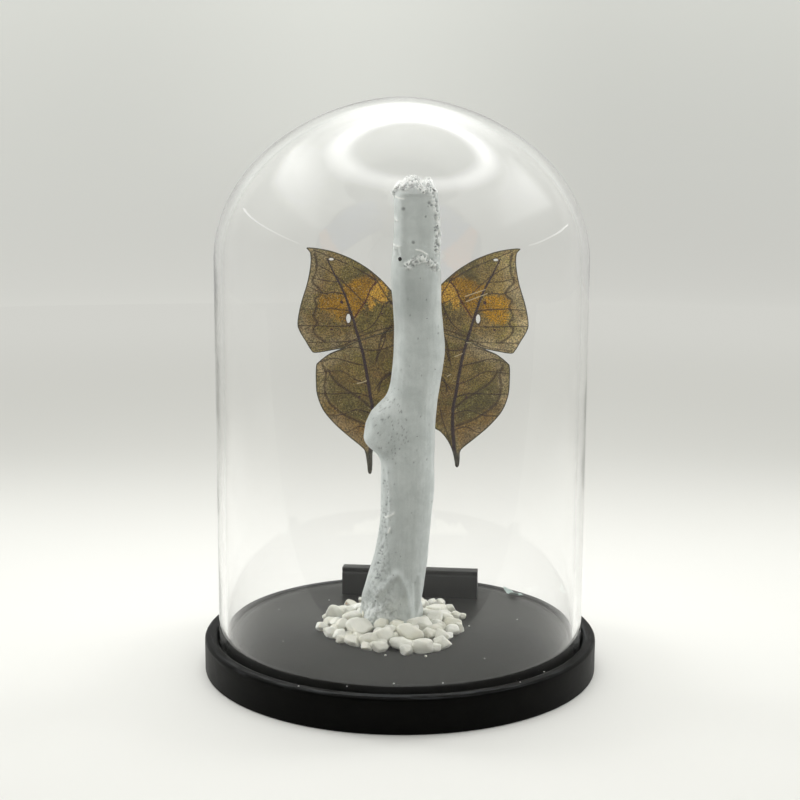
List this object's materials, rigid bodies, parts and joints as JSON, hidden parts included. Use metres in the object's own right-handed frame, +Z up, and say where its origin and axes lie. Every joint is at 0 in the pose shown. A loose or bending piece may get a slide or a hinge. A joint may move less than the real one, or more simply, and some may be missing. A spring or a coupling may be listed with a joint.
{
  "type": "insect in glass dome",
  "caption": "Spread leaf butterfly on a white-painted branch set in white gravel, on a round black base with a label holder, under a clear glass dome.",
  "frame": {"origin": "centre of the base's underside", "axes": "+Z up along the dome's axis; the butterfly's upper side faces +Y and the back of the branch faces -Y"},
  "size_m": [0.152, 0.152, 0.2174],
  "materials": {
    "black_wood": "black stain and satin lacquer, worn along the rim",
    "clear_glass": "clear blown glass",
    "white_painted_wood": "matt white paint brushed over rough wood",
    "white_stone": "crushed white stone",
    "black_plastic": "satin black",
    "leaf_wing": "brown leaf-like scales below, blue and orange above"
  },
  "bodies": {
    "root": {"base": "black_wood", "glass_dome": "clear_glass", "branch": "white_painted_wood", "gravel": "white_stone", "label_holder": "black_plastic", "butterfly": "leaf_wing"}
  },
  "joints": []
}
